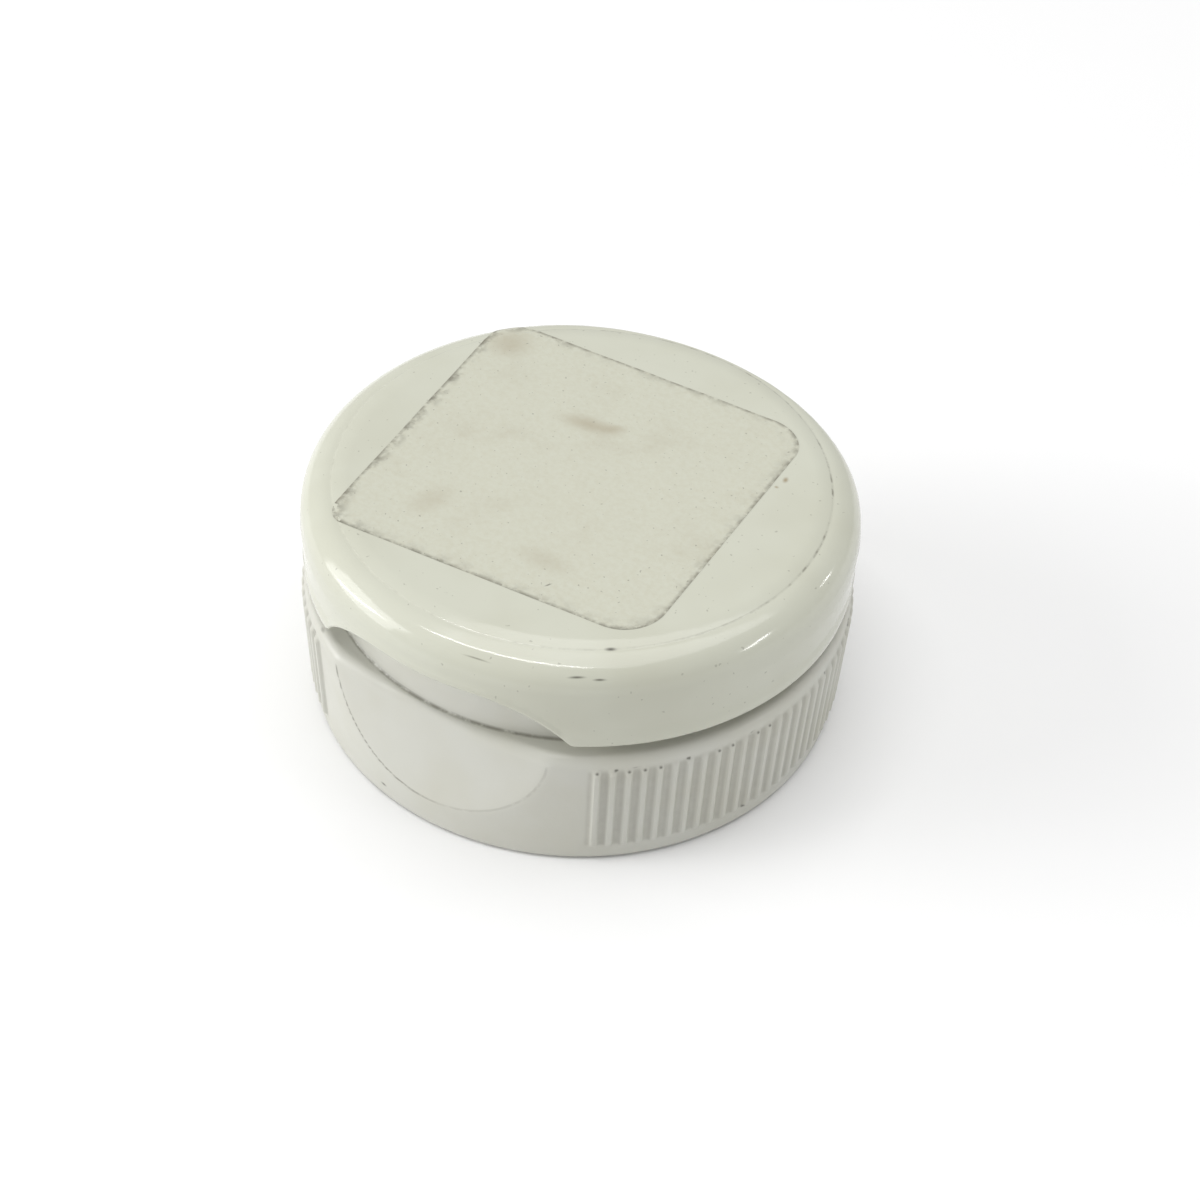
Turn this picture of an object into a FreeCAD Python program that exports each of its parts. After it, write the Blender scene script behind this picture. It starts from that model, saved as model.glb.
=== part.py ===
"""Flip top closure for a 38 mm bottle neck: a knurled base, a hinged lid and a paper label.

Frame: the closure's axis is Z, its open end stands on Z = 0, the thumb side faces -Y and the
hinge lies at +Y.  Lengths are millimetres and angles are degrees.
"""
import FreeCAD, Part

import math
import os

import Sketcher

# Driving dimensions: one cell of the sheet for each.
SIZES = {
    # base shell
    "base_diameter": 41.8,
    "ledge_height": 10.8,
    "foot_bevel": 0.45,
    "shoulder_round": 0.9,
    "seat_height": 10.1,
    "deck_plate": 1.2,
    # bore for the bottle neck: the thread's root, and above it the narrower seat for the neck's lip
    "thread_root_diameter": 37.9,
    "thread_wall_top": 7.3,
    "lip_bore_diameter": 36.6,
    "lip_bevel": 0.4,
    "mouth_bevel": 0.5,
    # seal that enters the bottle's bore
    "seal_diameter": 30.1,
    "seal_wall": 0.8,
    "seal_depth": 2.6,
    "seal_taper": 0.35,
    # deck: raised ring under the lid and pouring nozzle
    "ring_diameter": 37.9,
    "ring_wall": 1.0,
    "ring_top": 15.4,
    "nozzle_bore": 7.2,
    "nozzle_wall": 1.2,
    "nozzle_draft": 0.3,
    # grip ribs and thumb scoop
    "rib_pitch_angle": 3.0,
    "ribs_per_side": 43,
    "panel_half_angle": 34.5,
    "rib_height": 0.25,
    "rib_root_width": 0.74,
    "rib_crest_width": 0.34,
    "rib_foot": 1.5,
    "rib_head": 9.85,
    "scoop_depth": 1.35,
    "scoop_plan_radius": 60.0,
    "scoop_drop": 7.9,
    # lid
    "lid_diameter": 41.5,
    "lid_height": 18.85,
    "lid_gap": 1.2,
    "lid_draft": 0.15,
    "back_wall": 1.15,
    "lid_roof": 1.25,
    "lid_round": 2.3,
    "lid_edge_bevel": 0.25,
    "disc_diameter": 36.4,
    "disc_step": 0.06,
    "ring_clearance": 0.5,
    "arch_rise": 3.6,
    "arch_flat": 7.0,
    "arch_radius": 8.0,
    # hinge
    "recess_radius": 24.0,
    "recess_offset": 5.5,
    "shelf_height": 1.2,
    "hinge_flat": 20.1,
    "hinge_flat_foot": 2.6,
    "hinge_width": 9.6,
    "hinge_strap": 0.3,
    "hinge_film": 0.16,
    "hinge_grip": 0.9,
    "hinge_pad_depth": 1.3,
    "window_width": 1.2,
    "window_spacing": 4.6,
    "window_margin": 0.1,
    # plug under the lid that closes the nozzle
    "plug_clearance": 0.15,
    "plug_entry": 1.5,
    "plug_taper": 0.25,
    "plug_wall": 0.9,
    # label
    "label_width": 25.0,
    "label_depth": 26.2,
    "label_corner": 3.0,
    "label_paper": 0.12,
    "label_shift_x": -0.2,
    "label_shift_y": 0.2,
    "label_side_lean": 2.9,
    "label_front_lean": 1.4,
}


class Size:
    """A number that also carries the expression it came from, so that features can be bound to it."""

    def __init__(self, value, text):
        self.value = value
        self.text = text

    def _join(self, other, sign, result):
        other = as_size(other)
        return Size(result(self.value, other.value), f"({self.text} {sign} {other.text})")

    def __add__(self, other):
        return self._join(other, "+", lambda a, b: a + b)

    def __sub__(self, other):
        return self._join(other, "-", lambda a, b: a - b)

    def __mul__(self, other):
        return self._join(other, "*", lambda a, b: a * b)

    def __truediv__(self, other):
        return self._join(other, "/", lambda a, b: a / b)

    def __neg__(self):
        return Size(-self.value, f"(0 - {self.text})")


def as_size(number):
    """Wrap a plain number as a Size."""
    return number if isinstance(number, Size) else Size(float(number), repr(float(number)))


def sine(angle):
    """Sine of a Size in degrees."""
    return Size(math.sin(math.radians(angle.value)), f"sin({angle.text})")


def cosine(angle):
    """Cosine of a Size in degrees."""
    return Size(math.cos(math.radians(angle.value)), f"cos({angle.text})")


def arc_tangent(ratio):
    """Angle in degrees whose tangent is a Size."""
    return Size(math.degrees(math.atan(ratio.value)), f"atan({ratio.text})")


def make_sheet(doc):
    """Write the driving dimensions to the sheet and return them as Sizes."""
    sheet = doc.addObject("Spreadsheet::Sheet", "Sizes")
    for row, (alias, value) in enumerate(SIZES.items(), start=1):
        sheet.set(f"A{row}", alias)
        sheet.set(f"B{row}", str(value))
        sheet.setAlias(f"B{row}", alias)
    doc.recompute()
    return {alias: Size(value, f"Sizes.{alias}") for alias, value in SIZES.items()}


# Half the sweep of the arc that draws the scoop's profile, in radians.
SCOOP_SWEEP = 0.45

# Flats that stand for the rounded corners of the base's shoulder and of the lid.
SHOULDER_FLATS = 3
LID_FLATS = 4


# ---------------------------------------------------------------- sketch and feature helpers

def plane(body, role):
    """One of the body's own origin planes or axes."""
    return next(item for item in body.Origin.OriginFeatures if item.Role == role)


def bind(item, name, size):
    """Give a property its value and tie it to the sheet."""
    item.setExpression(name, as_size(size).text)


def new_sketch(body, name, role, height=0):
    """A sketch on an origin plane, lifted by height along the plane's normal."""
    sketch = body.newObject("Sketcher::SketchObject", name)
    sketch.AttachmentSupport = (plane(body, role), [""])
    sketch.MapMode = "FlatFace"
    bind(sketch, "AttachmentOffset.Base.z", height)
    return sketch


def wall_sketch(body, name, distance, turn):
    """An upright sketch that faces away from the axis, turned from the thumb side."""
    sketch = new_sketch(body, name, "XZ_Plane", distance * cosine(turn))
    spin = FreeCAD.Rotation(FreeCAD.Vector(0, 1, 0), turn.value)
    sketch.AttachmentOffset = FreeCAD.Placement(FreeCAD.Vector(0, 0, 0), spin)
    bind(sketch, "AttachmentOffset.Base.x", distance * sine(turn))
    bind(sketch, "AttachmentOffset.Base.z", distance * cosine(turn))
    bind(sketch, "AttachmentOffset.Rotation.Angle", turn)
    return sketch


def hold(sketch, kind, geometry, point, size):
    """Fix one coordinate of a sketch point, measured from the sketch's origin."""
    size = as_size(size)
    if size.value == 0:
        axis = -2 if kind == "DistanceX" else -1
        sketch.addConstraint(Sketcher.Constraint("PointOnObject", geometry, point, axis))
        return
    number = sketch.addConstraint(Sketcher.Constraint(kind, -1, 1, geometry, point, size.value))
    bind(sketch, f"Constraints[{number}]", size)


def hold_point(sketch, geometry, point, place):
    """Fix both coordinates of a sketch point."""
    hold(sketch, "DistanceX", geometry, point, place[0])
    hold(sketch, "DistanceY", geometry, point, place[1])


def hold_radius(sketch, geometry, size):
    """Fix the radius of an arc or a circle."""
    number = sketch.addConstraint(Sketcher.Constraint("Radius", geometry, size.value))
    bind(sketch, f"Constraints[{number}]", size)


def flat_point(place):
    """A sketch place as a vector."""
    return FreeCAD.Vector(as_size(place[0]).value, as_size(place[1]).value, 0)


def rounded_corner(radius, height, size, flats):
    """Places along a rounded outer corner at (radius, height), drawn with a few flats, from the wall up."""
    places = []
    for step in range(flats + 1):
        angle = as_size(90.0 * step / flats)
        out = radius - size + size * cosine(angle)
        up = height - size + size * sine(angle)
        places.append((out, up))
    return places


def polygon(sketch, places):
    """A closed outline of straight lines through the given places, each held by its coordinates."""
    first = sketch.GeometryCount
    count = len(places)
    for index in range(count):
        start = flat_point(places[index])
        end = flat_point(places[(index + 1) % count])
        sketch.addGeometry(Part.LineSegment(start, end))
    for index in range(count):
        following = first + (index + 1) % count
        sketch.addConstraint(Sketcher.Constraint("Coincident", first + index, 2, following, 1))
        hold_point(sketch, first + index, 1, places[index])


def circle(sketch, centre, radius):
    """A circle held by its centre and radius."""
    number = sketch.addGeometry(Part.Circle(flat_point(centre), FreeCAD.Vector(0, 0, 1), radius.value))
    hold_point(sketch, number, 3, centre)
    hold_radius(sketch, number, radius)


def arc(sketch, centre, radius, start, end):
    """An arc held by its centre and radius, drawn from start to end, both in radians."""
    whole = Part.Circle(flat_point(centre), FreeCAD.Vector(0, 0, 1), radius.value)
    number = sketch.addGeometry(Part.ArcOfCircle(whole, start, end))
    hold_point(sketch, number, 3, centre)
    hold_radius(sketch, number, radius)
    return number


def lens(sketch, radius, back_radius, offset):
    """A round outline whose hinge side is a flatter arc of back_radius about (0, -offset)."""
    height = (back_radius.value ** 2 - radius.value ** 2 - offset.value ** 2) / (2 * offset.value)
    half = math.sqrt(radius.value ** 2 - height ** 2)
    corner = math.atan2(height, half)
    back_corner = math.atan2(height + offset.value, half)
    front = arc(sketch, (0, 0), radius, math.pi - corner, 2 * math.pi + corner)
    back = arc(sketch, (0, -offset), back_radius, back_corner, math.pi - back_corner)
    sketch.addConstraint(Sketcher.Constraint("Coincident", front, 2, back, 1))
    sketch.addConstraint(Sketcher.Constraint("Coincident", back, 2, front, 1))


def revolve(body, name, sketch, kind="PartDesign::Revolution", axis="V_Axis"):
    """A full turn of a sketch, added or cut."""
    feature = body.newObject(kind, name)
    feature.Profile = sketch
    feature.ReferenceAxis = (sketch, [axis])
    feature.Angle = 360.0
    return feature


def pad(body, name, sketch, length, mirrored=False, turned=False):
    """Material grown from a sketch."""
    feature = body.newObject("PartDesign::Pad", name)
    feature.Profile = sketch
    bind(feature, "Length", length)
    feature.Midplane = mirrored
    feature.Reversed = turned
    return feature


def pocket(body, name, sketch, length, mirrored=False, turned=False):
    """Material cut with a sketch."""
    feature = body.newObject("PartDesign::Pocket", name)
    feature.Profile = sketch
    bind(feature, "Length", length)
    feature.Midplane = mirrored
    feature.Reversed = turned
    return feature


def round_edges(body, name, size, wanted):
    """A fillet on the edges of the body's tip that the test accepts."""
    tip = body.Tip
    names = [f"Edge{number}" for number, edge in enumerate(tip.Shape.Edges, start=1) if wanted(edge)]
    feature = body.newObject("PartDesign::Fillet", name)
    feature.Base = (tip, names)
    bind(feature, "Radius", size)
    return feature


# ---------------------------------------------------------------- the base

def make_base(doc, size):
    """The moulded base: skirt round the bottle neck, deck with ring and nozzle, ribs and scoop."""
    body = doc.addObject("PartDesign::Body", "Base")
    body.Label = "base"
    outer = size["base_diameter"] / 2
    root_radius = size["thread_root_diameter"] / 2
    lip_radius = size["lip_bore_diameter"] / 2
    ring = size["ring_diameter"] / 2
    ring_inside = ring - size["ring_wall"]
    floor_top = size["seat_height"] + size["deck_plate"]

    shell = new_sketch(body, "ShellProfile", "XZ_Plane")
    polygon(shell, [
        (root_radius + size["mouth_bevel"], 0),
        (outer - size["foot_bevel"], 0),
        (outer, size["foot_bevel"]),
        *rounded_corner(outer, size["ledge_height"], size["shoulder_round"], SHOULDER_FLATS),
        (ring, size["ledge_height"]),
        (ring, size["ring_top"]),
        (0, size["ring_top"]),
        (0, size["seat_height"]),
        (lip_radius, size["seat_height"]),
        (lip_radius, size["thread_wall_top"] + size["lip_bevel"]),
        (root_radius, size["thread_wall_top"]),
        (root_radius, size["mouth_bevel"]),
    ])
    revolve(body, "Shell", shell)

    # the ring's hinge side steps in, clear of the lid's recessed back
    back_radius = size["recess_radius"] - size["back_wall"] - size["ring_clearance"]
    beyond = new_sketch(body, "RingBackOutline", "XY_Plane", size["ledge_height"])
    circle(beyond, (0, -size["recess_offset"]), back_radius)
    circle(beyond, (0, -size["recess_offset"]), back_radius + outer)
    pocket(body, "RingBack", beyond, size["ring_top"], turned=True)

    dish = new_sketch(body, "DishOutline", "XY_Plane", floor_top)
    lens(dish, ring_inside, back_radius - size["ring_wall"], size["recess_offset"])
    pocket(body, "Dish", dish, size["ring_top"], turned=True)

    nozzle = new_sketch(body, "NozzleProfile", "XZ_Plane")
    bore = size["nozzle_bore"] / 2
    polygon(nozzle, [
        (0, floor_top - size["deck_plate"] / 2),
        (bore + size["nozzle_wall"] + size["nozzle_draft"], floor_top - size["deck_plate"] / 2),
        (bore + size["nozzle_wall"] + size["nozzle_draft"], floor_top),
        (bore + size["nozzle_wall"], size["ring_top"]),
        (0, size["ring_top"]),
    ])
    revolve(body, "Nozzle", nozzle)
    opening = new_sketch(body, "NozzleBore", "XY_Plane", size["seat_height"])
    circle(opening, (0, 0), bore)
    pocket(body, "NozzleOpening", opening, size["ring_top"], turned=True)

    seal = new_sketch(body, "SealProfile", "XZ_Plane")
    seal_radius = size["seal_diameter"] / 2
    seal_inside = seal_radius - size["seal_wall"]
    polygon(seal, [
        (seal_inside, size["seat_height"] + size["deck_plate"] / 2),
        (seal_inside, size["seat_height"] - size["seal_depth"]),
        (seal_radius - size["seal_taper"], size["seat_height"] - size["seal_depth"]),
        (seal_radius, size["seat_height"] - size["seal_depth"] / 2),
        (seal_radius, size["seat_height"] + size["deck_plate"] / 2),
    ])
    revolve(body, "BoreSeal", seal)

    add_hinge_pad(body, size)
    cut_scoop(body, size, outer)
    cut_hinge_flat(body, size, outer)
    add_ribs(body, size, outer)
    return body


def add_hinge_pad(body, size):
    """A block under the hinge that fills the rounded shoulder out to the hinge flat."""
    outline = new_sketch(body, "HingePadOutline", "XY_Plane", size["ledge_height"])
    half = size["hinge_width"] / 2
    inner = size["hinge_flat"] - size["hinge_pad_depth"]
    polygon(outline, [(-half, inner), (half, inner), (half, size["hinge_flat"]), (-half, size["hinge_flat"])])
    pad(body, "HingePad", outline, size["shoulder_round"] * 2, turned=True)


def add_ribs(body, size, outer):
    """Grip ribs round the skirt between the smooth thumb panel and the hinge."""
    span = (size["ribs_per_side"] - 1) * size["rib_pitch_angle"]
    right = add_rib(body, size, outer, "RibRight", size["panel_half_angle"])
    left = add_rib(body, size, outer, "RibLeft", -(size["panel_half_angle"] + span))
    body.Document.recompute()
    pattern = body.newObject("PartDesign::PolarPattern", "Ribs")
    pattern.Originals = [right, left]
    pattern.Axis = (plane(body, "Z_Axis"), [""])
    pattern.Angle = span.value
    pattern.Occurrences = int(size["ribs_per_side"].value)
    bind(pattern, "Angle", span)
    bind(pattern, "Occurrences", size["ribs_per_side"])
    body.Tip = pattern


def add_rib(body, size, outer, name, turn):
    """One rib, sunk a little into the wall and tapered on all four sides."""
    sink = size["rib_height"] / 5
    slope = (size["rib_root_width"] - size["rib_crest_width"]) / (size["rib_height"] * 2)
    half = size["rib_root_width"] / 2 + slope * sink
    sketch = wall_sketch(body, f"{name}Outline", outer - sink, turn)
    low = size["rib_foot"]
    high = size["rib_head"]
    polygon(sketch, [(-half, low), (half, low), (half, high), (-half, high)])
    rib = pad(body, name, sketch, size["rib_height"] + sink)
    bind(rib, "TaperAngle", arc_tangent(-slope))
    return rib


def cut_scoop(body, size, outer):
    """A shallow scoop under the thumb: hollow from top to bottom, and flatter than the wall in plan."""
    deepest = outer - size["scoop_depth"]
    square = size["scoop_drop"] * size["scoop_drop"] + size["scoop_depth"] * size["scoop_depth"]
    hollow = square / (size["scoop_depth"] * 2)
    centre = -(deepest + hollow)
    level = size["ledge_height"]
    sketch = new_sketch(body, "ScoopProfile", "YZ_Plane")
    curve = arc(sketch, (centre, level), hollow, -SCOOP_SWEEP, SCOOP_SWEEP)
    side = centre.value + math.cos(SCOOP_SWEEP) * hollow.value
    rise = math.sin(SCOOP_SWEEP) * hollow.value
    top = FreeCAD.Vector(side, level.value + rise, 0)
    bottom = FreeCAD.Vector(side, level.value - rise, 0)
    chord = sketch.addGeometry(Part.LineSegment(top, bottom))
    sketch.addConstraint(Sketcher.Constraint("Coincident", curve, 2, chord, 1))
    sketch.addConstraint(Sketcher.Constraint("Coincident", curve, 1, chord, 2))
    sketch.addConstraint(Sketcher.Constraint("Vertical", chord))
    hold(sketch, "DistanceX", chord, 1, -(outer + size["scoop_depth"] * 2))
    pivot = size["scoop_plan_radius"] - deepest
    foot = FreeCAD.Vector(pivot.value, 0, 0)
    head = FreeCAD.Vector(pivot.value, level.value, 0)
    axis = sketch.addGeometry(Part.LineSegment(foot, head), True)
    hold_point(sketch, axis, 1, (pivot, 0))
    hold_point(sketch, axis, 2, (pivot, level))
    groove = body.newObject("PartDesign::Groove", "Scoop")
    groove.Profile = sketch
    groove.ReferenceAxis = (sketch, ["Axis0"])
    groove.Angle = 60.0
    groove.Midplane = True


def cut_hinge_flat(body, size, outer):
    """A flat on the back of the skirt that the opened lid hangs beside."""
    outline = new_sketch(body, "HingeFlatOutline", "XY_Plane", size["hinge_flat_foot"])
    half = outer / 2
    polygon(outline, [(-half, size["hinge_flat"]), (half, size["hinge_flat"]), (half, outer * 1.2), (-half, outer * 1.2)])
    pocket(body, "HingeFlat", outline, size["ledge_height"], turned=True)


# ---------------------------------------------------------------- the lid

def make_lid(doc, size):
    """The moulded lid: a round cap with a thumb arch, a recessed back and a plug for the nozzle."""
    body = doc.addObject("PartDesign::Body", "Lid")
    body.Label = "lid"
    outer = size["lid_diameter"] / 2
    edge = size["ledge_height"] + size["lid_gap"]
    shoulder = size["lid_height"] - size["disc_step"]
    ceiling = size["lid_height"] - size["lid_roof"]
    inner = size["ring_diameter"] / 2 + size["ring_clearance"]
    inner_back = size["recess_radius"] - size["back_wall"]

    block = new_sketch(body, "LidProfile", "XZ_Plane")
    polygon(block, [
        (0, edge),
        (outer - size["lid_edge_bevel"], edge),
        (outer, edge + size["lid_edge_bevel"]),
        *rounded_corner(outer - size["lid_draft"], shoulder, size["lid_round"], LID_FLATS),
        (0, shoulder),
    ])
    revolve(body, "LidBlock", block)
    disc = new_sketch(body, "DiscOutline", "XY_Plane", shoulder)
    circle(disc, (0, 0), size["disc_diameter"] / 2)
    pad(body, "Disc", disc, size["disc_step"])

    cavity = new_sketch(body, "CavityOutline", "XY_Plane", edge)
    lens(cavity, inner, inner_back, size["recess_offset"])
    pocket(body, "Cavity", cavity, ceiling - edge, turned=True)

    # the back steps in above a shelf that the hinge hangs on
    recess = new_sketch(body, "RecessOutline", "XY_Plane", edge + size["shelf_height"])
    circle(recess, (0, -size["recess_offset"]), size["recess_radius"])
    circle(recess, (0, -size["recess_offset"]), size["recess_radius"] + outer)
    pocket(body, "Recess", recess, size["lid_height"], turned=True)
    cut_hinge_face(body, size, outer, edge)
    cut_arch(body, size, outer, edge)
    add_plug(body, size, ceiling)
    return body


def cut_hinge_face(body, size, outer, edge):
    """The flat face of the shelf that the hinge strap is moulded to."""
    outline = new_sketch(body, "HingeFaceOutline", "XY_Plane", edge)
    half = outer / 2
    near = size["hinge_flat"]
    polygon(outline, [(-half, near), (half, near), (half, outer * 1.2), (-half, outer * 1.2)])
    pocket(body, "HingeFace", outline, size["shelf_height"], turned=True)


def cut_arch(body, size, outer, edge):
    """The arched opening in the lid's front that lets the thumb in under it."""
    half = size["arch_flat"] / 2
    radius = size["arch_radius"]
    top = edge + size["arch_rise"]
    level = top - radius
    sketch = new_sketch(body, "ArchOutline", "XZ_Plane")
    right = arc(sketch, (half, level), radius, 0, math.pi / 2)
    left = arc(sketch, (-half, level), radius, math.pi / 2, math.pi)
    lintel = sketch.addGeometry(Part.LineSegment(flat_point((half, top)), flat_point((-half, top))))
    far = half + radius
    sill = sketch.addGeometry(Part.LineSegment(flat_point((-far, level)), flat_point((far, level))))
    sketch.addConstraint(Sketcher.Constraint("Coincident", right, 2, lintel, 1))
    sketch.addConstraint(Sketcher.Constraint("Coincident", lintel, 2, left, 1))
    sketch.addConstraint(Sketcher.Constraint("Coincident", left, 2, sill, 1))
    sketch.addConstraint(Sketcher.Constraint("Coincident", sill, 2, right, 1))
    hold(sketch, "DistanceX", lintel, 1, half)
    hold(sketch, "DistanceX", lintel, 2, -half)
    hold(sketch, "DistanceY", sill, 1, level)
    hold(sketch, "DistanceY", sill, 2, level)
    pocket(body, "Arch", sketch, outer * 1.2, turned=True)


def add_plug(body, size, ceiling):
    """The ring plug that closes the nozzle, hung from the lid's ceiling."""
    wide = size["nozzle_bore"] / 2 - size["plug_clearance"]
    narrow = wide - size["plug_taper"]
    inside = narrow - size["plug_wall"]
    tip = size["ring_top"] - size["plug_entry"]
    rooted = ceiling + size["lid_roof"] / 2
    sketch = new_sketch(body, "PlugProfile", "XZ_Plane")
    polygon(sketch, [
        (inside, rooted),
        (inside, tip),
        (narrow, tip),
        (wide, size["ring_top"]),
        (wide, rooted),
    ])
    revolve(body, "Plug", sketch)


# ---------------------------------------------------------------- the hinge and the label

def make_hinge(doc, size):
    """The living hinge: a strap thinned to a film where it bends, with two windows."""
    body = doc.addObject("PartDesign::Body", "Hinge")
    body.Label = "hinge"
    half = size["hinge_width"] / 2
    low = size["ledge_height"]
    high = size["ledge_height"] + size["lid_gap"]
    strap = new_sketch(body, "StrapOutline", "XZ_Plane", -(size["hinge_flat"] + size["hinge_strap"]))
    polygon(strap, [
        (-half, low - size["hinge_grip"]),
        (half, low - size["hinge_grip"]),
        (half, high + size["hinge_grip"]),
        (-half, high + size["hinge_grip"]),
    ])
    pad(body, "Strap", strap, size["hinge_strap"])

    groove = new_sketch(body, "FilmGrooveOutline", "YZ_Plane")
    face = size["hinge_flat"]
    depth = size["hinge_strap"] - size["hinge_film"]
    polygon(groove, [
        (face - depth, low),
        (face, low),
        (face + depth, low + depth),
        (face + depth, high - depth),
        (face, high),
        (face - depth, high),
    ])
    pocket(body, "FilmGroove", groove, size["hinge_width"] * 1.2, mirrored=True)

    windows = new_sketch(body, "WindowOutline", "XZ_Plane", -(size["hinge_flat"] + size["hinge_strap"]))
    margin = size["window_margin"]
    for side in (-1, 1):
        middle = size["window_spacing"] * (side / 2)
        near = middle - size["window_width"] / 2
        away = middle + size["window_width"] / 2
        polygon(windows, [(near, low + margin), (away, low + margin), (away, high - margin), (near, high - margin)])
    pocket(body, "Windows", windows, size["hinge_strap"] * 2, turned=True)
    return body


def make_label(doc, size):
    """The paper label: cut by hand, so that its left side and its front lean."""
    body = doc.addObject("PartDesign::Body", "Label")
    body.Label = "label"
    half_width = size["label_width"] / 2
    half_depth = size["label_depth"] / 2
    right = size["label_shift_x"] + half_width
    left = size["label_shift_x"] - half_width
    back = size["label_shift_y"] + half_depth
    front = size["label_shift_y"] - half_depth
    outline = new_sketch(body, "LabelOutline", "XY_Plane", size["lid_height"])
    polygon(outline, [
        (right, front),
        (right, back),
        (left - size["label_side_lean"], back),
        (left, front - size["label_front_lean"]),
    ])
    pad(body, "LabelSheet", outline, size["label_paper"])
    doc.recompute()
    round_edges(body, "LabelCorners", size["label_corner"], is_upright)
    return body


def is_upright(edge):
    """A test for straight edges along the axis."""
    start, end = (vertex.Point for vertex in edge.Vertexes)
    return abs(start.x - end.x) < 1e-6 and abs(start.y - end.y) < 1e-6


# ---------------------------------------------------------------- checks and export

def check_objects(doc):
    """Stop if any object of the document failed to build."""
    for item in doc.Objects:
        if "Invalid" in item.State or "Error" in item.State:
            raise RuntimeError(f"{item.Name}: {item.getStatusString()}")


def export_parts(bodies):
    """Check each sub-part's shape and write it as STEP."""
    for body in bodies:
        if body.Shape.isNull() or not body.Shape.isValid():
            raise RuntimeError(f"{body.Label}: its shape is empty or broken")
    os.makedirs("parts", exist_ok=True)
    for body in bodies:
        body.Shape.exportStep(f"parts/{body.Label}.step")


def main():
    doc = FreeCAD.newDocument("FlipTopCap")
    size = make_sheet(doc)
    bodies = [make_base(doc, size), make_lid(doc, size), make_hinge(doc, size), make_label(doc, size)]
    doc.recompute()
    check_objects(doc)
    export_parts(bodies)


main()
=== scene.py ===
"""Looks of the flip top closure: off-white moulding, living hinge and a worn paper label.

Frame: axis on Z, thumb side -Y, hinge +Y.  Shapes are worked out in millimetres and scaled once.
Turns round the axis are degrees from the thumb side, positive towards +X.
"""
import math

import bmesh
import bpy
from mathutils import Matrix, Vector


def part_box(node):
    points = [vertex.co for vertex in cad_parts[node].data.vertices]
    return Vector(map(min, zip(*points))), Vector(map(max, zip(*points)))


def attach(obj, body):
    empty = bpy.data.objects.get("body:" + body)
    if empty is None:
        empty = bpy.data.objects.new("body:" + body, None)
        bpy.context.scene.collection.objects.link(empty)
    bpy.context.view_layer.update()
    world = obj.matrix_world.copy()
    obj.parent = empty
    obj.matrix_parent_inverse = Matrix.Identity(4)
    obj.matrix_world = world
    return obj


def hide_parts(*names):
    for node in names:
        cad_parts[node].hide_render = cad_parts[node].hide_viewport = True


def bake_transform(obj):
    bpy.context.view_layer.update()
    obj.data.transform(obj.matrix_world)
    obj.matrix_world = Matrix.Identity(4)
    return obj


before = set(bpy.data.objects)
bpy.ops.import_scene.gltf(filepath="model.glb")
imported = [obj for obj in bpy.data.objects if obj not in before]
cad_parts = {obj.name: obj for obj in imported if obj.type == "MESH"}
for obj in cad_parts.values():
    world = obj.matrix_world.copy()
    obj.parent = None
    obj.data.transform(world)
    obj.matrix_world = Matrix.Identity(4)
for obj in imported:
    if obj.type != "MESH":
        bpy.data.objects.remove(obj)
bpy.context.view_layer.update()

MM = 0.001
WELD = 1e-6

# ---------------------------------------------------------------- sizes, in millimetres
BASE_LOW, BASE_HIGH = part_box("base")
LID_LOW, LID_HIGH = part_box("lid")
HINGE_LOW, HINGE_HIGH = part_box("hinge")
LABEL_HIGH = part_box("label")[1]

RIM_Z = BASE_LOW[2] / MM
RING_TOP = BASE_HIGH[2] / MM
LID_EDGE = LID_LOW[2] / MM
LID_TOP = LID_HIGH[2] / MM
HINGE_FLAT = HINGE_LOW[1] / MM
RIB_CREST = BASE_HIGH[0] / MM

# base
WALL = 20.9
RIB_HEIGHT = 0.25
LEDGE = 10.8
SHOULDER = 0.9
FOOT_BEVEL = 0.45
RIB_FOOT = 1.5
RIB_HEAD = 9.95
RIB_PITCH = 3.0
RIBS_PER_SIDE = 43
PANEL_HALF = 34.5
RING = 18.95
RING_WALL = 1.0
FLOOR = 11.3
SEAT = 10.1
NOZZLE_BORE = 3.6
NOZZLE_WALL = 1.2
SEAL = 15.05
SEAL_WALL = 0.8
SEAL_DEPTH = 2.6
SEAL_TIP = SEAT - SEAL_DEPTH
THREAD_WALL = 18.95
THREAD_TOP = 7.3
LIP_BORE = 18.3
MOUTH = 0.5
HINGE_FLAT_FOOT = 2.6
RIM_LIFT = 0.08
RIB_CREST_HALF = 0.28
RIB_ROOT_HALF = 1.2
RIB_COLUMNS = (-1.5, -1.1, -0.75, -0.4, 0.0, 0.4, 0.75, 1.1, 1.5)
RIB_FOOT_FADE = 0.35
RIB_HEAD_FADE = 0.4

# scoop
SCOOP_DEPTH = 1.35
SCOOP_DROP = 7.9
SCOOP_PLAN = 60.0
SCOOP_HOLLOW = (SCOOP_DROP ** 2 + SCOOP_DEPTH ** 2) / (2 * SCOOP_DEPTH)
SCOOP_PIVOT = SCOOP_PLAN - WALL + SCOOP_DEPTH

# thread ridge
THREAD_CREST = 17.85
THREAD_PITCH = 4.23
THREAD_TURNS = 1.1
THREAD_START = 1.75
THREAD_STEPS = 144
THREAD_RUNOUT = 0.06
THREAD_ROOT_HALF = 1.1
THREAD_CREST_HALF = 0.35
THREAD_BURIED = 0.3

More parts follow.
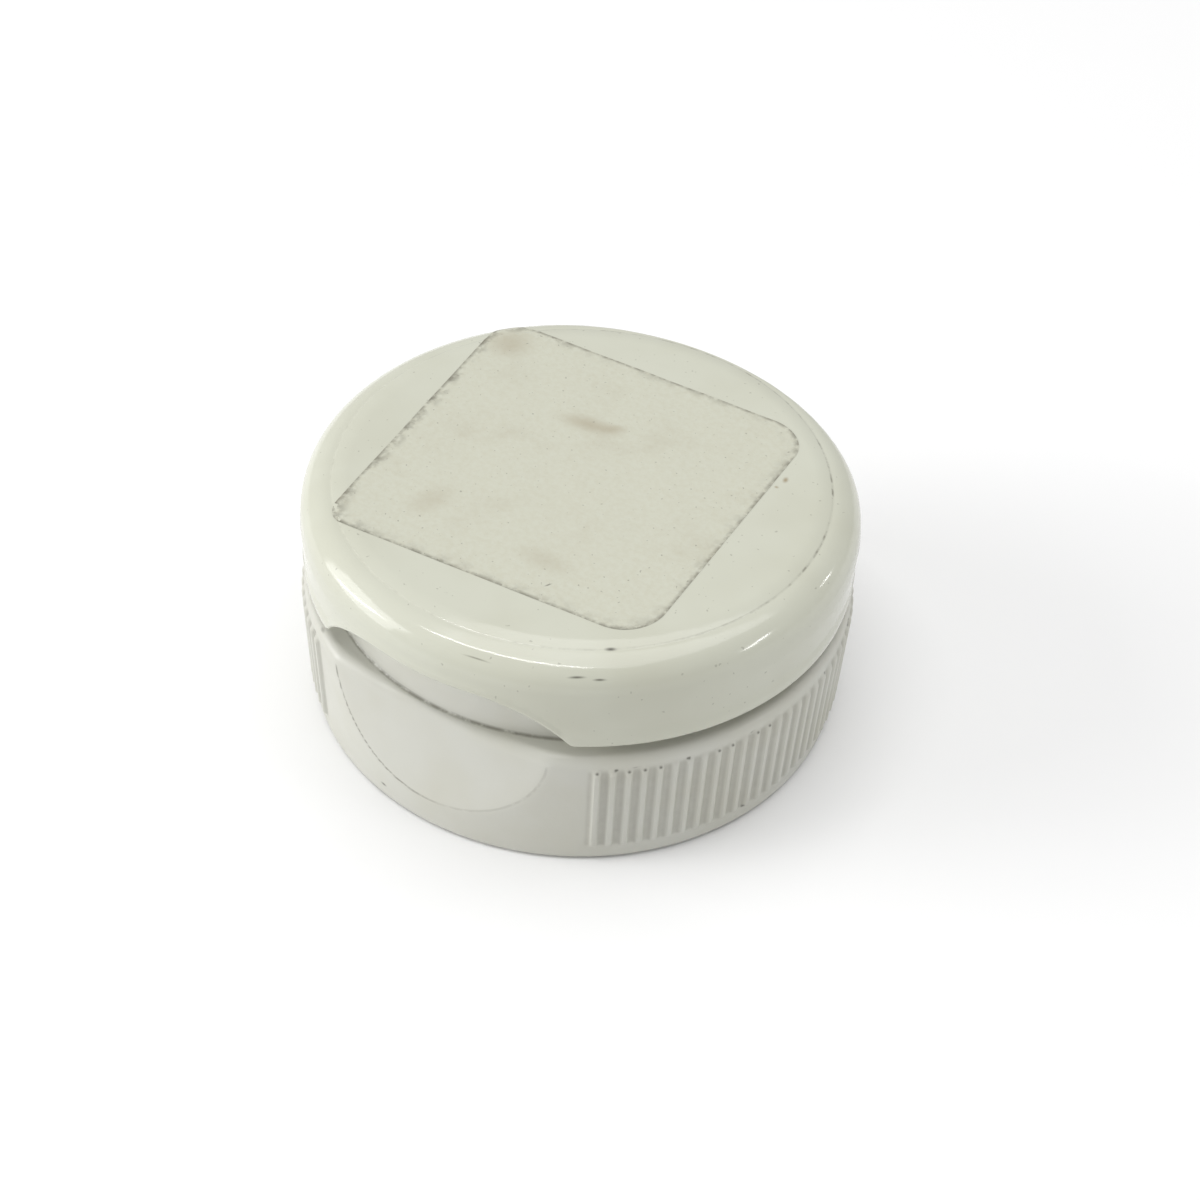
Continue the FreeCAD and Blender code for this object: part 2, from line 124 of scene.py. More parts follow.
# lid
LID_WALL = 20.75
LID_DRAFT = 0.15
LID_ROUND = 2.3
LID_CAVITY = 19.45
LID_CEILING = 17.6
DISC = 18.2
DISC_STEP = 0.06
RECESS = 24.0
RECESS_OFFSET = 5.5
BACK_WALL = 1.15
SHELF = LID_EDGE + 1.2
ARCH_RISE = 3.6
ARCH_HALF_FLAT = 3.5
ARCH_RADIUS = 8.0
PLUG_WIDE = 3.45
PLUG_NARROW = 3.2
PLUG_INSIDE = 2.3
PLUG_TIP = 13.9

# hinge strap
HINGE_HALF_WIDTH = 4.8
WINDOW_MIDDLE = 2.3
WINDOW_HALF = 0.6
WINDOW_MARGIN = 0.1
STRAP_FILM = 0.16
STRAP_BEVEL = 0.06
STRAP_BENDS = 12

# label
LABEL_CORNERS = {"front_right": (12.3, -12.9), "back_right": (12.3, 13.3),
                 "back_left": (-15.6, 13.3), "front_left": (-12.7, -14.3)}
LABEL_CORNER = 3.0
LABEL_WORN_CORNER = 1.6
LABEL_CELLS = 90
LABEL_STANDOFF = 0.004
LABEL_WAVE = 0.012
LABEL_CURL = 0.05

# roundings of moulded edges
TINY_ROUND = 0.15
EDGE_ROUND = 0.2
RIM_ROUND = 0.25
INNER_ROUND = 0.3
CREASE = 0.05

# ---------------------------------------------------------------- small helpers

def smooth_min(a, b, soft):
    """The smaller of two numbers, blended over a width of soft."""
    mix = max(0.0, min(1.0, 0.5 + 0.5 * (b - a) / soft))
    return b + (a - b) * mix - soft * mix * (1.0 - mix)


def ramp(x, low, high):
    """Smooth step from 0 at low to 1 at high."""
    t = max(0.0, min(1.0, (x - low) / (high - low)))
    return t * t * (3.0 - 2.0 * t)


def arc_points(centre, radius, start, end, steps):
    """Places (r, z) on an arc about centre, both ends included, angles in degrees."""
    places = []
    for step in range(steps + 1):
        angle = math.radians(start + (end - start) * step / steps)
        places.append((centre[0] + radius * math.cos(angle), centre[1] + radius * math.sin(angle)))
    return places


def steps_between(low, high, count):
    """Evenly spaced numbers from low to high, both included."""
    return [low + (high - low) * step / count for step in range(count + 1)]


def make_object(name, mesh, material, body):
    """Link a mesh as a piece that rides on a body."""
    piece = bpy.data.objects.new(name, mesh)
    bpy.context.scene.collection.objects.link(piece)
    mesh.materials.append(material)
    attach(piece, body)
    return piece


def finish_mesh(name, grid, sharp_angle):
    """Weld a bmesh, point its normals outwards, shade it smooth and keep its sharp edges."""
    bmesh.ops.remove_doubles(grid, verts=grid.verts, dist=WELD)
    bmesh.ops.dissolve_degenerate(grid, edges=grid.edges, dist=WELD)
    bmesh.ops.recalc_face_normals(grid, faces=grid.faces)
    limit = math.radians(sharp_angle)
    for face in grid.faces:
        face.smooth = True
    for edge in grid.edges:
        if len(edge.link_faces) == 2 and edge.calc_face_angle(0.0) > limit:
            edge.smooth = False
    mesh = bpy.data.meshes.new(name)
    grid.to_mesh(mesh)
    grid.free()
    return mesh


def turned_form(name, turns, profile, sharp_angle=38.0):
    """A closed form round the axis: profile(turn) gives its (r, z) outline at each turn, in order."""
    grid = bmesh.new()
    rows = []
    for turn in turns:
        angle = math.radians(turn)
        row = []
        for radius, height in profile(turn):
            place = Vector((radius * math.sin(angle), -radius * math.cos(angle), height)) * MM
            row.append(grid.verts.new(place))
        rows.append(row)
    count = len(rows[0])
    for index, row in enumerate(rows):
        after = rows[(index + 1) % len(rows)]
        for step in range(count):
            following = (step + 1) % count
            grid.faces.new((row[step], after[step], after[following], row[following]))
    return finish_mesh(name, grid, sharp_angle)


# ---------------------------------------------------------------- base

def rib_turns():
    """Turns of every rib's middle."""
    right = [PANEL_HALF + RIB_PITCH * number for number in range(RIBS_PER_SIDE)]
    return right + [-turn for turn in right]


RIB_TURNS = rib_turns()
RIB_LAST = max(RIB_TURNS)


def base_turns():
    """Columns of the base: close together across each rib, a degree apart elsewhere."""
    turns = set()
    for middle in RIB_TURNS:
        for offset in RIB_COLUMNS:
            turns.add(round((middle + offset) % 360.0, 3))
    panel = PANEL_HALF - RIB_PITCH / 2
    for turn in steps_between(-panel, panel, 66):
        turns.add(round(turn % 360.0, 3))
    behind = 180.0 - RIB_LAST - RIB_PITCH / 2
    for turn in steps_between(180.0 - behind, 180.0 + behind, 36):
        turns.add(round(turn % 360.0, 3))
    return sorted(turns)


def rib_swell(turn):
    """How far the ribs stand out at a turn, from 0 in a valley to 1 on a crest."""
    side = abs((turn + 180.0) % 360.0 - 180.0)
    if side < PANEL_HALF - RIB_PITCH / 2 or side > RIB_LAST + RIB_PITCH / 2:
        return 0.0
    offset = abs((side - PANEL_HALF + RIB_PITCH / 2) % RIB_PITCH - RIB_PITCH / 2)
    return 1.0 - ramp(offset, RIB_CREST_HALF, RIB_ROOT_HALF)


def scoop_radius(turn, height):
    """Radius of the thumb scoop's surface."""
    facing = math.cos(math.radians(turn))
    if facing < 0.5:
        return 2 * WALL
    drop = min(abs(height - LEDGE), 0.9 * SCOOP_HOLLOW)
    reach = SCOOP_PLAN + SCOOP_HOLLOW - math.sqrt(SCOOP_HOLLOW ** 2 - drop ** 2)
    return -SCOOP_PIVOT * facing + math.sqrt((SCOOP_PIVOT * facing) ** 2 - SCOOP_PIVOT ** 2 + reach ** 2)


def wall_radius(turn, height):
    """Outer radius of the skirt, with its scoop and its hinge flat."""
    radius = smooth_min(WALL, scoop_radius(turn, height), CREASE)
    backing = -math.cos(math.radians(turn))
    if backing > 0.5 and height > HINGE_FLAT_FOOT:
        radius = smooth_min(radius, HINGE_FLAT / backing, CREASE)
    return radius


def on_hinge_pad(turn):
    """Whether a turn lies on the block under the hinge."""
    across = abs(HINGE_FLAT * math.tan(math.radians(turn)))
    return math.cos(math.radians(turn)) < 0 and across < HINGE_HALF_WIDTH + 0.1


def ribbed_radius(turn, height):
    """Outer radius of the skirt with its ribs, which fade out at their feet and heads."""
    foot = ramp(height, RIB_FOOT, RIB_FOOT + RIB_FOOT_FADE)
    head = 1.0 - ramp(height, RIB_HEAD - RIB_HEAD_FADE, RIB_HEAD)
    return wall_radius(turn, height) + rib_swell(turn) * RIB_HEIGHT * foot * head


def skirt_outline(turn):
    """Outside of the skirt, from its rim to the top of its shoulder."""
    outline = [(WALL - FOOT_BEVEL - EDGE_ROUND, RIM_Z), (WALL - FOOT_BEVEL, RIM_Z + RIM_LIFT)]
    outline += arc_points((WALL - FOOT_BEVEL, RIM_Z + FOOT_BEVEL + RIM_LIFT), FOOT_BEVEL, -55, 0, 3)
    heights = [1.0, RIB_FOOT, RIB_FOOT + 0.2, RIB_FOOT + RIB_FOOT_FADE]
    heights += [HINGE_FLAT_FOOT - 0.02, HINGE_FLAT_FOOT + 0.02]
    heights += steps_between(HINGE_FLAT_FOOT + 0.3, RIB_HEAD - 0.75, 21)
    heights += [RIB_HEAD - 0.5, RIB_HEAD - 0.3]
    outline += [(ribbed_radius(turn, height), height) for height in heights]
    rounding = min(SHOULDER, wall_radius(turn, LEDGE) - RING - 0.12)
    if on_hinge_pad(turn):
        rounding = 0.1
    for step in range(9):
        angle = math.radians(90.0 * step / 8)
        height = LEDGE - SHOULDER + SHOULDER * math.sin(angle)
        inset = rounding * (1.0 - math.cos(angle))
        outline.append((ribbed_radius(turn, height) - inset, height))
    return outline


def base_outline(turn):
    """The base's outline at a turn, from its rim up the outside, over the deck and down the bore."""
    return skirt_outline(turn) + deck_outline(turn) + BORE_OUTLINE


def back_limit(turn, radius, back_radius):
    """A radius held inside the flatter hinge side, a circle of back_radius about (0, -offset)."""
    facing = math.cos(math.radians(turn))
    reach = back_radius ** 2 - RECESS_OFFSET ** 2 * (1.0 - facing ** 2)
    return min(radius, RECESS_OFFSET * facing + math.sqrt(reach))


def deck_outline(turn):
    """Ledge, raised ring, dished deck and the nozzle's outside."""
    back = RECESS - BACK_WALL - 0.5
    ring = back_limit(turn, RING, back)
    inside = back_limit(turn, RING - RING_WALL, back - RING_WALL)
    outline = arc_points((ring + TINY_ROUND, LEDGE + TINY_ROUND), TINY_ROUND, 270, 180, 3)
    outline += [(ring, LEDGE + 0.7), (ring, RING_TOP - 0.3)]
    outline += arc_points((ring - EDGE_ROUND, RING_TOP - EDGE_ROUND), EDGE_ROUND, 0, 90, 4)
    outline += arc_points((inside + EDGE_ROUND, RING_TOP - EDGE_ROUND), EDGE_ROUND, 90, 180, 4)
    outline += arc_points((inside - INNER_ROUND, FLOOR + INNER_ROUND), INNER_ROUND, 0, -90, 3)
    outline += [(12.0, FLOOR), (8.0, FLOOR)]
    return outline + NOZZLE_OUTLINE


NOZZLE_OUTLINE = (
    arc_points((NOZZLE_BORE + NOZZLE_WALL + 0.7, FLOOR + 0.4), 0.4, 270, 180, 3)
    + arc_points((NOZZLE_BORE + NOZZLE_WALL - RIM_ROUND, RING_TOP - RIM_ROUND), RIM_ROUND, 0, 90, 4)
    + arc_points((NOZZLE_BORE + RIM_ROUND, RING_TOP - RIM_ROUND), RIM_ROUND, 90, 180, 4)
    + [(NOZZLE_BORE, 13.0), (NOZZLE_BORE, SEAT + EDGE_ROUND), (NOZZLE_BORE + EDGE_ROUND, SEAT)]
)

BORE_OUTLINE = (
    [(8.0, SEAT), (12.0, SEAT)]
    + arc_points((SEAL - SEAL_WALL - EDGE_ROUND, SEAT - EDGE_ROUND), EDGE_ROUND, 90, 0, 2)
    + arc_points((SEAL - SEAL_WALL + TINY_ROUND, SEAL_TIP + TINY_ROUND), TINY_ROUND, 180, 270, 3)
    + arc_points((SEAL - 0.5, SEAL_TIP + TINY_ROUND), TINY_ROUND, 270, 360, 3)
    + [(SEAL, SEAT - SEAL_DEPTH / 2), (SEAL, SEAT - EDGE_ROUND), (SEAL + EDGE_ROUND, SEAT)]
    + arc_points((LIP_BORE - INNER_ROUND, SEAT - INNER_ROUND), INNER_ROUND, 90, 0, 3)
    + [(LIP_BORE, THREAD_TOP + 0.4), (THREAD_WALL, THREAD_TOP - 0.1)]
    + [(THREAD_WALL, height) for height in (5.0, 2.5, MOUTH + 0.1)]
    + [(THREAD_WALL + MOUTH - 0.1, RIM_Z + 0.05), (THREAD_WALL + MOUTH, RIM_Z)]
)


def make_base(material):
    """The whole base as one turned form."""
    mesh = turned_form("base_shell", base_turns(), base_outline)
    piece = make_object("base_shell", mesh, material, "base")
    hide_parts("base")
    return piece


def thread_section(fade):
    """Section (r, height from its middle) of the thread's ridge, flat at fade 0 and full at 1."""
    crest = THREAD_WALL + 0.05 - (THREAD_WALL - THREAD_CREST + 0.05) * fade
    upper = [(crest, THREAD_CREST_HALF), (crest + TINY_ROUND, THREAD_CREST_HALF + 0.17)]
    upper += [(THREAD_WALL, THREAD_ROOT_HALF), (THREAD_WALL + THREAD_BURIED, THREAD_ROOT_HALF + 0.1)]
    return [(radius, -lift) for radius, lift in reversed(upper)] + upper


def make_thread(material):
    """The ridge of the neck thread, wound up inside the skirt and faded out at both ends."""
    grid = bmesh.new()
    steps = int(THREAD_STEPS * THREAD_TURNS)
    rows = []
    for step in range(steps + 1):
        share = step / steps
        angle = 2 * math.pi * THREAD_TURNS * share
        fade = ramp(share, 0.0, THREAD_RUNOUT) * (1.0 - ramp(share, 1.0 - THREAD_RUNOUT, 1.0))
        middle = THREAD_START + THREAD_PITCH * THREAD_TURNS * share
        row = []
        for radius, lift in thread_section(fade):
            place = (radius * math.sin(angle), -radius * math.cos(angle), middle + lift * (0.5 + 0.5 * fade))
            row.append(grid.verts.new(Vector(place) * MM))
        rows.append(row)
    for row, after in zip(rows, rows[1:]):
        for index in range(len(row)):
            following = (index + 1) % len(row)
            grid.faces.new((row[index], after[index], after[following], row[following]))
    grid.faces.new(rows[0])
    grid.faces.new(list(reversed(rows[-1])))
    piece = make_object("neck_thread", finish_mesh("neck_thread", grid, 50.0), material, "base")
    return piece


# ---------------------------------------------------------------- lid

def lid_turns():
    """Columns of the lid, closer together where the arch meets the edge."""
    turns = {round(turn % 360.0, 3) for turn in steps_between(-180.0, 179.0, 359)}
    for turn in steps_between(5.0, 32.0, 80):
        turns.add(round(turn, 3))
        turns.add(round(-turn % 360.0, 3))
    return sorted(turns)


def edge_height(turn):
    """Height of the lid's lower edge, raised over the thumb arch."""
    if math.cos(math.radians(turn)) < 0.5:
        return LID_EDGE
    across = abs(LID_WALL * math.sin(math.radians(turn)))
    top = LID_EDGE + ARCH_RISE
    if across < ARCH_HALF_FLAT:
        return top
    beyond = across - ARCH_HALF_FLAT
    if beyond > ARCH_RADIUS * 0.98:
        return LID_EDGE
    arch = top - ARCH_RADIUS + math.sqrt(ARCH_RADIUS ** 2 - beyond ** 2)
    return -smooth_min(-LID_EDGE, -arch, 0.35)


def lid_outside(turn):
    """Outside of the lid, from the middle of its top to its lower edge."""
    shoulder = LID_TOP - DISC_STEP
    recess = back_limit(turn, 2 * LID_WALL, RECESS)
    wall_top = LID_WALL - LID_DRAFT
    backing = -math.cos(math.radians(turn))
    shelf = LID_WALL if backing < 0.5 else smooth_min(LID_WALL, HINGE_FLAT / backing, CREASE)
    disc = smooth_min(DISC, recess, CREASE)

    outline = [(radius, LID_TOP) for radius in (0.0, 4.0, 8.0, 12.0, 15.0, 17.0, disc - 0.06)]
    outline += [(disc, LID_TOP - DISC_STEP / 2), (disc + 0.05, shoulder)]
    for radius, height in arc_points((wall_top - LID_ROUND, shoulder - LID_ROUND), LID_ROUND, 88, 0, 14):
        outline.append((smooth_min(radius, recess, 0.25), height))
    low = edge_height(turn)
    wall = smooth_min(LID_WALL - LID_DRAFT / 2, recess, 0.02)
    for height in steps_between(shoulder - LID_ROUND - 0.4, SHELF + 0.15, 5):
        outline.append((wall, max(height, low + 0.6)))
    step_in = max(SHELF, low + 0.5)
    above = smooth_min(LID_WALL - 0.03, recess + 0.1, 0.02)
    outline += [(above, step_in), (max(above, shelf - 0.1), step_in - 0.03)]
    outline.append((shelf, step_in - 0.12))
    return outline + arc_points((shelf - RIM_ROUND, low + RIM_ROUND), RIM_ROUND, 0, -90, 4)


def lid_inside(turn):
    """Inside of the lid, from its lower edge up the cavity and round the plug to the middle."""
    low = edge_height(turn)
    inside = back_limit(turn, LID_CAVITY, RECESS - BACK_WALL)
    outline = arc_points((inside + EDGE_ROUND, low + EDGE_ROUND), EDGE_ROUND, 270, 180, 3)
    outline += [(inside, height) for height in steps_between(max(low + 0.6, 13.0), LID_CEILING - 0.6, 3)]
    outline += arc_points((inside - 0.5, LID_CEILING - 0.5), 0.5, 0, 90, 4)
    outline += [(radius, LID_CEILING) for radius in (14.0, 9.0)]
    outline += arc_points((PLUG_WIDE + INNER_ROUND, LID_CEILING - INNER_ROUND), INNER_ROUND, 90, 180, 3)
    outline += [(PLUG_WIDE, RING_TOP), (PLUG_NARROW, PLUG_TIP + TINY_ROUND)]
    outline += [(PLUG_NARROW - TINY_ROUND, PLUG_TIP), (PLUG_INSIDE + TINY_ROUND, PLUG_TIP)]
    outline += [(PLUG_INSIDE, PLUG_TIP + TINY_ROUND), (PLUG_INSIDE, LID_CEILING)]
    outline.append((0.0, LID_CEILING))
    return outline


def lid_outline(turn):
    """The lid's outline at a turn, from the middle of its top down the outside and up the inside."""
    return lid_outside(turn) + lid_inside(turn)


def make_lid(material):
    """The whole lid as one turned form."""
    mesh = turned_form("lid_shell", lid_turns(), lid_outline, sharp_angle=42.0)
    piece = make_object("lid_shell", mesh, material, "lid")
    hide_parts("lid")
    return piece


# ---------------------------------------------------------------- hinge

def in_window(across, height):
    """Whether a place on the strap lies in one of its two windows."""
    beside = abs(abs(across) - WINDOW_MIDDLE) < WINDOW_HALF
    return beside and LEDGE + WINDOW_MARGIN < height < LID_EDGE - WINDOW_MARGIN


def strap_levels():
    """Heights at which the strap has rows, close together where it bends."""
    levels = [HINGE_LOW[2] / MM, HINGE_LOW[2] / MM + STRAP_BEVEL, LEDGE - 0.1]
    levels += steps_between(LEDGE + WINDOW_MARGIN, LID_EDGE - WINDOW_MARGIN, STRAP_BENDS)
    return levels + [LID_EDGE + 0.1, HINGE_HIGH[2] / MM - STRAP_BEVEL, HINGE_HIGH[2] / MM]


def strap_columns():
    """Places across the strap, at its sides, its middle and the sides of its windows."""
    stops = [WINDOW_MIDDLE - WINDOW_HALF, WINDOW_MIDDLE + WINDOW_HALF, HINGE_HALF_WIDTH]
    return [-stop for stop in reversed(stops)] + [0.0] + stops


def strap_corners(grid, columns, levels):
    """Corners of the strap's outer and inner faces, named by face, place across and height."""
    back = HINGE_HIGH[1] / MM
    corners = {}
    for height in levels:
        bending = ramp(height, LEDGE, LEDGE + 0.2) * (1.0 - ramp(height, LID_EDGE - 0.2, LID_EDGE))
        rim = STRAP_BEVEL if height in (levels[0], levels[-1]) else 0.0
        inner = HINGE_FLAT + (back - HINGE_FLAT - STRAP_FILM) * bending
        for across in columns:
            corners["outer", across, height] = grid.verts.new(Vector((across, back - rim, height)) * MM)
            corners["inner", across, height] = grid.verts.new(Vector((across, inner, height)) * MM)
    return corners


def close_sides(grid, corners):
    """Join the outer face's open edges to the inner face's."""
    names = {corner: name for name, corner in corners.items()}
    for edge in [edge for edge in grid.edges if len(edge.link_faces) == 1]:
        ends = [names[corner] for corner in edge.verts]
        if ends[0][0] == "outer":
            facing = [corners["inner", across, height] for _, across, height in reversed(ends)]
            grid.faces.new([*edge.verts, *facing])


def make_hinge(material):
    """The living hinge: a strap with two windows, thin where it bends."""
    grid = bmesh.new()
    columns = strap_columns()
    levels = strap_levels()
    corners = strap_corners(grid, columns, levels)
    for left, right in zip(columns, columns[1:]):
        for bottom, top in zip(levels, levels[1:]):
            if in_window((left + right) / 2, (bottom + top) / 2):
                continue
            ring = [(left, bottom), (right, bottom), (right, top), (left, top)]
            grid.faces.new([corners["outer", across, height] for across, height in ring])
            grid.faces.new([corners["inner", across, height] for across, height in reversed(ring)])
    close_sides(grid, corners)
    for corner in [corner for corner in grid.verts if not corner.link_faces]:
        grid.verts.remove(corner)
    mesh = finish_mesh("hinge_strap", grid, 40.0)
    piece = bpy.data.objects.new("hinge_strap", mesh)
    bpy.context.scene.collection.objects.link(piece)
    mesh.materials.append(material)
    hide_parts("hinge")
    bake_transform(piece)
    return piece


# ---------------------------------------------------------------- label

def label_place(u, v):
    """A place on the label's outline square, u from its left side and v from its front, each 0 to 1."""
    front = Vector(LABEL_CORNERS["front_left"]).lerp(Vector(LABEL_CORNERS["front_right"]), u)
    back = Vector(LABEL_CORNERS["back_left"]).lerp(Vector(LABEL_CORNERS["back_right"]), u)
    return front.lerp(back, v)


def round_square(u, v):
    """Draw a place of the unit square in so that its corners are rounded, the worn left ones less."""
    x = 2 * u - 1
    y = 2 * v - 1
    width = LABEL_CORNERS["front_right"][0] - LABEL_CORNERS["front_left"][0]
    corner = 2 * (LABEL_CORNER if x > 0 else LABEL_WORN_CORNER) / width
    reach = max(abs(x), abs(y))
    if reach == 0:
        return u, v
    straight = 1 - corner
    side = min(abs(x), abs(y)) / reach
    if side > straight:
        # the ray through (1, side) meets the corner's circle about (straight, straight)
        a = 1 + side ** 2
        b = straight * (1 + side)
        c = 2 * straight ** 2 - corner ** 2
        scale = (b + math.sqrt(max(0.0, b ** 2 - a * c))) / a
        x *= scale
        y *= scale
    return (x + 1) / 2, (y + 1) / 2


def lid_surface(place):
    """Height of the lid's top under a place."""
    radius = place.length
    shoulder = LID_TOP - DISC_STEP
    bend = LID_WALL - LID_DRAFT - LID_ROUND
    if radius < DISC:
        return LID_TOP
    over = min(max(0.0, radius - bend), LID_ROUND * 0.98)
    return shoulder - LID_ROUND + math.sqrt(LID_ROUND ** 2 - over ** 2)


def label_lift(place, u, v):
    """How far the worn paper stands off the lid: small waves, and a lifted back left corner."""
    wave = LABEL_WAVE * (math.sin(0.9 * place.x + 1.3) * math.cos(0.7 * place.y) + 1.0)
    back_left = ramp(1.0 - math.hypot(u, 1.0 - v), 0.86, 1.0)
    return wave + LABEL_CURL * back_left


def make_label(material):
    """The paper label, laid over the lid's top and its rounding."""
    grid = bmesh.new()
    edge_layer = grid.verts.layers.float.new("edge")
    rows = []
    for row_number in range(LABEL_CELLS + 1):
        row = []
        for number in range(LABEL_CELLS + 1):
            u, v = round_square(number / LABEL_CELLS, row_number / LABEL_CELLS)
            place = label_place(u, v)
            height = lid_surface(place) + LABEL_STANDOFF + label_lift(place, u, v)
            height = min(height, LABEL_HIGH[2] / MM - 0.001)
            vert = grid.verts.new(Vector((place.x, place.y, height)) * MM)
            border = min(number, LABEL_CELLS - number, row_number, LABEL_CELLS - row_number)
            vert[edge_layer] = border / LABEL_CELLS
            row.append(vert)
        rows.append(row)
    for row, after in zip(rows, rows[1:]):
        for number in range(LABEL_CELLS):
            grid.faces.new((row[number], row[number + 1], after[number + 1], after[number]))
    for face in grid.faces:
        face.smooth = True
    mesh = bpy.data.meshes.new("paper_label")
    grid.to_mesh(mesh)
    grid.free()
    piece = make_object("paper_label", mesh, material, "lid")
    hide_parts("label")
    return piece


# ---------------------------------------------------------------- materials

class Field:
    """A value worked out over a surface by shader nodes; arithmetic on it adds the nodes."""

    def __init__(self, tree, socket):
        self.tree = tree
        self.socket = socket

    def _math(self, operation, *others):
        node = self.tree.nodes.new("ShaderNodeMath")
        node.operation = operation
        self.tree.links.new(self.socket, node.inputs[0])
        for index, other in enumerate(others, start=1):
            if isinstance(other, Field):
                self.tree.links.new(other.socket, node.inputs[index])
            else:
                node.inputs[index].default_value = other
        return Field(self.tree, node.outputs[0])

    def __add__(self, other):
        return self._math("ADD", other)

    def __sub__(self, other):
        return self._math("SUBTRACT", other)

    def __mul__(self, other):
        return self._math("MULTIPLY", other)

    def __truediv__(self, other):
        return self._math("DIVIDE", other)

    def root(self):
        return self._math("SQRT")

    def size(self):
        return self._math("ABSOLUTE")

    def step(self, low, high):
        """Smooth step from 0 at low to 1 at high."""
        node = self.tree.nodes.new("ShaderNodeMapRange")
        node.interpolation_type = "SMOOTHSTEP"
        self.tree.links.new(self.socket, node.inputs["Value"])
        node.inputs["From Min"].default_value = low
        node.inputs["From Max"].default_value = high
        return Field(self.tree, node.outputs["Result"])


class Surface:
    """A material under construction: its node tree, places on the object and its shader."""

    def __init__(self, name):
        self.material = bpy.data.materials.new(name)
        self.material.use_nodes = True
        self.tree = self.material.node_tree
        self.shader = self.tree.nodes["Principled BSDF"]
        coordinates = self.tree.nodes.new("ShaderNodeTexCoord")
        self.places = coordinates.outputs["Object"]
        parts = self.tree.nodes.new("ShaderNodeSeparateXYZ")
        self.tree.links.new(self.places, parts.inputs[0])
        self.x, self.y, self.z = (Field(self.tree, socket) / MM for socket in parts.outputs)
        self.radius = (self.x * self.x + self.y * self.y).root()

    def noise(self, per_mm, detail=3.0, roughness=0.6, seed=0.0):
        """Fractal noise, about 0.5, with per_mm features to the millimetre."""
        mapping = self.tree.nodes.new("ShaderNodeMapping")
        mapping.inputs["Scale"].default_value = [per_mm / MM] * 3
        mapping.inputs["Location"].default_value = (seed, seed * 0.7, seed * 1.3)
        self.tree.links.new(self.places, mapping.inputs["Vector"])
        node = self.tree.nodes.new("ShaderNodeTexNoise")
        node.inputs["Scale"].default_value = 1.0
        node.inputs["Detail"].default_value = detail
        node.inputs["Roughness"].default_value = roughness
        self.tree.links.new(mapping.outputs[0], node.inputs["Vector"])
        return Field(self.tree, node.outputs["Fac"])

    def spot(self, centre, sizes, turn=0.0):
        """1 at a place, falling to 0 at the given half sizes in x, y and z; turn is about Z."""
        angle = math.radians(turn)
        dx = self.x - centre[0]
        dy = self.y - centre[1]
        along = dx * math.cos(angle) + dy * math.sin(angle)
        across = dy * math.cos(angle) - dx * math.sin(angle)
        lift = (self.z - centre[2]) / sizes[2]
        along = along / sizes[0]
        across = across / sizes[1]
        distance = (along * along + across * across + lift * lift).root()
        return distance.step(1.0, 0.0)

    def mix(self, amount, first, second):
        """A colour between two colours or colour sockets."""
        node = self.tree.nodes.new("ShaderNodeMix")
        node.data_type = "RGBA"
        self.tree.links.new(amount.socket, node.inputs["Factor"])
        for value, socket in ((first, node.inputs[6]), (second, node.inputs[7])):
            if isinstance(value, tuple):
                socket.default_value = (*value, 1.0)
            else:
                self.tree.links.new(value, socket)
        return node.outputs[2]

    def add_marks(self, socket, marks):
        """Lay small marks over a colour."""
        for centre, sizes, turn, amount, tone in marks:
            socket = self.mix(self.spot(centre, sizes, turn) * amount, socket, tone)
        return socket

    def bump(self, height, strength, distance):
        """Raise the surface by a height field."""
        node = self.tree.nodes.new("ShaderNodeBump")
        node.inputs["Strength"].default_value = strength
        node.inputs["Distance"].default_value = distance
        self.tree.links.new(height.socket, node.inputs["Height"])
        self.tree.links.new(node.outputs[0], self.shader.inputs["Normal"])

    def colour(self, socket):
        self.tree.links.new(socket, self.shader.inputs["Base Color"])

    def roughness(self, field):
        self.tree.links.new(field.socket, self.shader.inputs["Roughness"])


# colours, linear
POLYMER = (0.575, 0.582, 0.492)
POLYMER_WARM = (0.545, 0.548, 0.455)
SHELL = (0.58, 0.58, 0.525)
SHELL_WARM = (0.55, 0.545, 0.475)
GRIME = (0.16, 0.15, 0.115)
DARK_GRIME = (0.06, 0.055, 0.04)
PAPER = (0.555, 0.56, 0.468)
PAPER_WORN = (0.525, 0.52, 0.42)
# painted shade, laid in the valleys between the ribs
VALLEY_SHADE = (0.27, 0.26, 0.215)
BROWN = (0.30, 0.235, 0.14)
POLYMER_IOR = 1.49

# Marks of use: place, half sizes, turn about Z, how strong, and tone
LID_MARKS = [
    ((10.9, -14.6, 18.8), (0.55, 0.2, 0.6), 35.0, 0.9, DARK_GRIME),
    ((10.0, -17.3, 18.0), (0.8, 0.09, 0.5), 32.0, 0.8, DARK_GRIME),
    ((11.3, -16.6, 17.9), (0.6, 0.08, 0.5), 34.0, 0.8, DARK_GRIME),
    ((12.9, 7.3, 18.8), (0.5, 0.3, 0.6), 100.0, 0.85, BROWN),
    ((12.7, 6.2, 18.8), (0.25, 0.2, 0.6), 0.0, 0.7, BROWN),
    ((3.7, -19.5, 18.1), (1.3, 0.07, 0.5), 10.0, 0.7, GRIME),
    ((-6.8, -19.6, 14.9), (0.4, 0.3, 0.12), -20.0, 0.8, DARK_GRIME),
]
BASE_MARKS = [
    ((-12.3, -17.0, 9.8), (0.4, 0.3, 0.2), -36.0, 0.8, DARK_GRIME),
    ((-11.4, -17.2, 10.7), (0.5, 0.3, 0.25), -33.0, 0.8, DARK_GRIME),
    ((-4.05, -20.5, 1.45), (0.4, 0.4, 0.2), -11.0, 0.85, DARK_GRIME),
    ((19.3, -8.3, 1.7), (0.3, 0.4, 0.3), 67.0, 0.8, DARK_GRIME),
]
